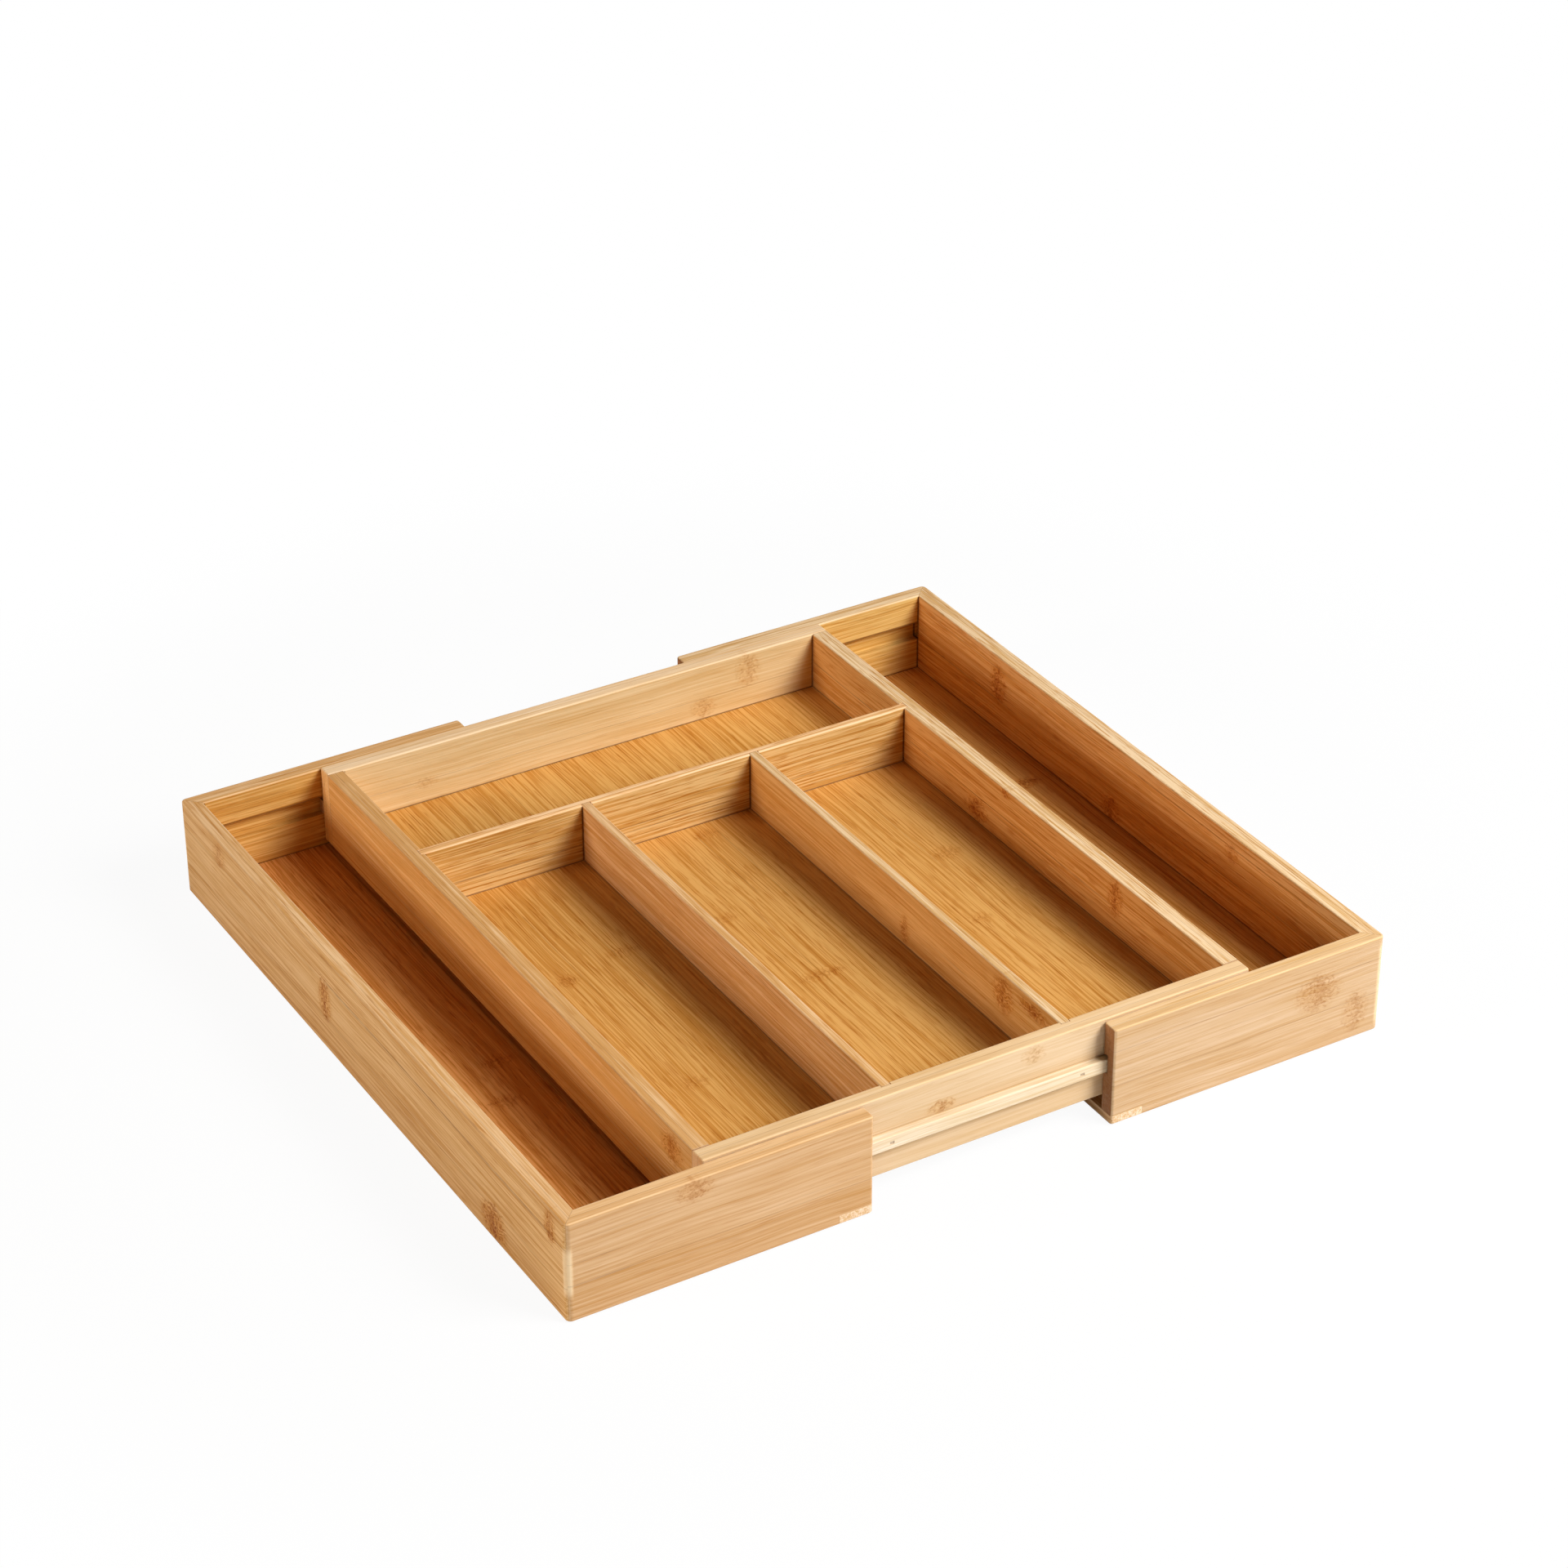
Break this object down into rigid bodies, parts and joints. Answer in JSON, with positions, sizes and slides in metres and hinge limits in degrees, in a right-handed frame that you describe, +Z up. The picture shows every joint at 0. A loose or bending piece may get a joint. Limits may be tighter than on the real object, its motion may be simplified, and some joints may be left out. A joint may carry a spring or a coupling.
{
  "type": "cutlery tray",
  "caption": "Expandable bamboo cutlery tray: a divided centre tray on tongue and groove runners between side wings that slide out for wider drawers.",
  "frame": {"origin": "under the middle of the tray, on the surface that the wings stand on", "axes": "+X to the right, along the wings' slides; +Y to the rear, along the cutlery; +Z up"},
  "size_m": [0.3992, 0.37, 0.049],
  "materials": {
    "bamboo_boards": "satin clear lacquer on honey bamboo",
    "bamboo_dividers": "satin clear lacquer on honey bamboo",
    "bamboo_floors": "satin clear lacquer on deeper honey bamboo",
    "brads": "plain wire brad heads"
  },
  "bodies": {
    "centre_tray": {"front_rail": "bamboo_boards", "rear_rail": "bamboo_boards", "left_end_wall": "bamboo_boards", "right_end_wall": "bamboo_boards", "cross_divider": "bamboo_dividers", "left_divider": "bamboo_dividers", "right_divider": "bamboo_dividers", "centre_floor": "bamboo_floors", "front_runner": "bamboo_boards", "rear_runner": "bamboo_boards", "front_runner_brads": "brads", "rear_runner_brads": "brads"},
    "left_wing": {"left_side_wall": "bamboo_boards", "left_front_return": "bamboo_boards", "left_rear_return": "bamboo_boards", "left_floor": "bamboo_floors", "left_tie_strip": "bamboo_boards", "left_tie_brads": "brads"},
    "right_wing": {"right_side_wall": "bamboo_boards", "right_front_return": "bamboo_boards", "right_rear_return": "bamboo_boards", "right_floor": "bamboo_floors", "right_tie_strip": "bamboo_boards", "right_tie_brads": "brads"}
  },
  "joints": [
    {"name": "left_slide", "type": "slide", "parent": "centre_tray", "child": "left_wing", "axis": [-1, 0, 0], "range_m": [-0.0576, 0.0255]},
    {"name": "right_slide", "type": "slide", "parent": "centre_tray", "child": "right_wing", "axis": [1, 0, 0], "range_m": [-0.0576, 0.0255]}
  ]
}
